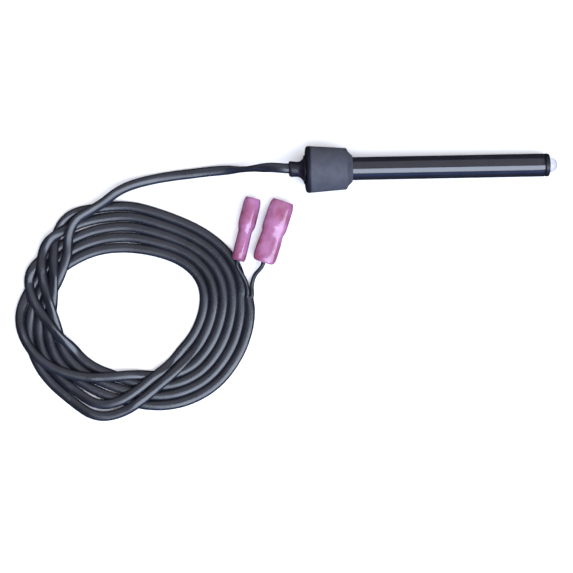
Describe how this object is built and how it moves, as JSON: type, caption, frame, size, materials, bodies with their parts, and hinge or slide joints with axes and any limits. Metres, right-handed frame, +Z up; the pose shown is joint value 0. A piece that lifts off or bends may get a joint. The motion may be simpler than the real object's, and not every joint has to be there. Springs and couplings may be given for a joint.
{
  "type": "flame sensor probe",
  "caption": "Burner flame sensor: glossy black tube with a glass eye and photocell, sliding tapered grey rubber stopper, coiled flat two-core lead and pink insulated push-on terminals.",
  "frame": {"origin": "On the surface the probe rests on, under the middle of the probe from the strain relief's end to the tip of the eye, the lead and terminals left out", "axes": "+X along the probe towards its eye, +Z up, +Y to the left of the probe seen from its lead end"},
  "size_m": [0.2366, 0.1147, 0.0202],
  "materials": {
    "tube_black": "glossy black moulded plastic",
    "bezel_black": "satin black moulded plastic",
    "lens_glass": "clear polished glass",
    "window_glass": "clear flat glass",
    "seal_silicone": "matte heat-resistant silicone",
    "can_metal": "nickel-plated metal",
    "cell_ceramic": "light-sensitive layer on ceramic",
    "holder_nylon": "natural nylon",
    "tinned_metal": "bright tin plating",
    "shrink_black": "heat-shrink tubing",
    "wire_insulation": "black wire insulation",
    "copper": "bare stranded copper",
    "boot_rubber": "moulded black rubber",
    "resin": "dark potting resin",
    "lead_sheath": "semi-gloss charcoal cable sheath",
    "stopper_rubber": "matte grey rubber",
    "terminal_pink": "translucent pink insulating sleeve",
    "ferrule_brass": "plain brass"
  },
  "bodies": {
    "probe": {"sensor_tube": "tube_black", "lens_bezel": "bezel_black", "tip_lens": "lens_glass", "lens_seal": "seal_silicone", "photocell_can": "can_metal", "photocell_window": "window_glass", "photocell_element": "cell_ceramic", "photocell_base": "can_metal", "cell_holder": "holder_nylon", "photocell_lead_a": "tinned_metal", "photocell_lead_b": "tinned_metal", "joint_sleeve_a": "shrink_black", "joint_sleeve_b": "shrink_black", "inner_wire_a": "wire_insulation", "inner_wire_b": "wire_insulation", "inner_conductor_a": "copper", "inner_conductor_b": "copper", "strain_relief_boot": "boot_rubber", "potting_plug": "resin", "lead_inner_end": "lead_sheath", "lead_free": "lead_sheath", "lead_coil": "lead_sheath", "lead_wire_a": "wire_insulation", "lead_wire_b": "wire_insulation", "terminal_sleeve_a": "terminal_pink", "terminal_sleeve_b": "terminal_pink", "terminal_clip_a": "tinned_metal", "terminal_clip_b": "tinned_metal", "crimp_ferrule_a": "ferrule_brass", "crimp_ferrule_b": "ferrule_brass", "crimped_strands_a": "copper", "crimped_strands_b": "copper"},
    "stopper": {"mounting_stopper": "stopper_rubber"}
  },
  "joints": [
    {"name": "stopper_slide", "type": "slide", "parent": "probe", "child": "stopper", "axis": [0.9988, 0, -0.0489], "range_m": [0, 0.03]}
  ]
}
